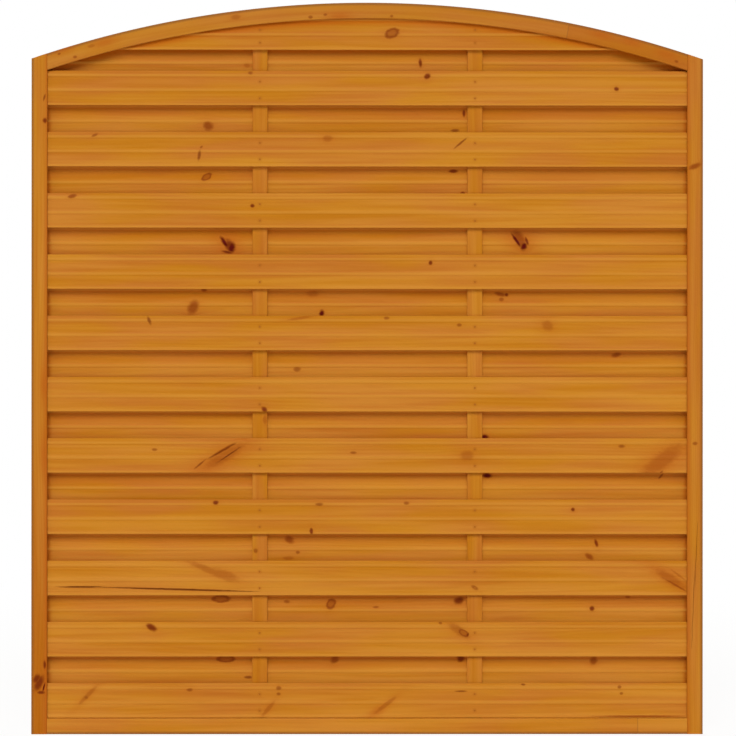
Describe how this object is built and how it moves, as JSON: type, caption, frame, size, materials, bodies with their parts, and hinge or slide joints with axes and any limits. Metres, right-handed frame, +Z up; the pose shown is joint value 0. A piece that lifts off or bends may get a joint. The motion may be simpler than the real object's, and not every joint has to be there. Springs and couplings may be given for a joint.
{
  "type": "privacy fence panel",
  "caption": "Arched softwood privacy fence panel: a grooved frame holding two overlapping layers of ribbed horizontal slats, nailed to upright battens, to be fixed between posts.",
  "frame": {"origin": "middle of the panel's bottom edge, halfway through its depth", "axes": "+Z up, +X along the width, front of the panel towards -Y"},
  "size_m": [1.79, 0.04, 1.9498],
  "materials": {
    "frame_wood": "satin glaze",
    "front_slat_wood": "satin glaze",
    "back_slat_wood": "satin glaze",
    "batten_wood": "satin glaze",
    "nail_steel": "dulled bright nail",
    "screw_steel": "zinc plated"
  },
  "bodies": {
    "root": {"arch_rail": "frame_wood", "back_nails": "nail_steel", "back_slat_01": "back_slat_wood", "back_slat_02": "back_slat_wood", "back_slat_03": "back_slat_wood", "back_slat_04": "back_slat_wood", "back_slat_05": "back_slat_wood", "back_slat_06": "back_slat_wood", "back_slat_07": "back_slat_wood", "back_slat_08": "back_slat_wood", "back_slat_09": "back_slat_wood", "back_slat_10": "back_slat_wood", "back_slat_11": "back_slat_wood", "bottom_rail": "frame_wood", "corner_screws": "screw_steel", "front_nails": "nail_steel", "front_slat_01": "front_slat_wood", "front_slat_02": "front_slat_wood", "front_slat_03": "front_slat_wood", "front_slat_04": "front_slat_wood", "front_slat_05": "front_slat_wood", "front_slat_06": "front_slat_wood", "front_slat_07": "front_slat_wood", "front_slat_08": "front_slat_wood", "front_slat_09": "front_slat_wood", "front_slat_10": "front_slat_wood", "front_slat_11": "front_slat_wood", "front_slat_12": "front_slat_wood", "left_batten": "batten_wood", "left_stile": "frame_wood", "right_batten": "batten_wood", "right_stile": "frame_wood"}
  },
  "joints": []
}
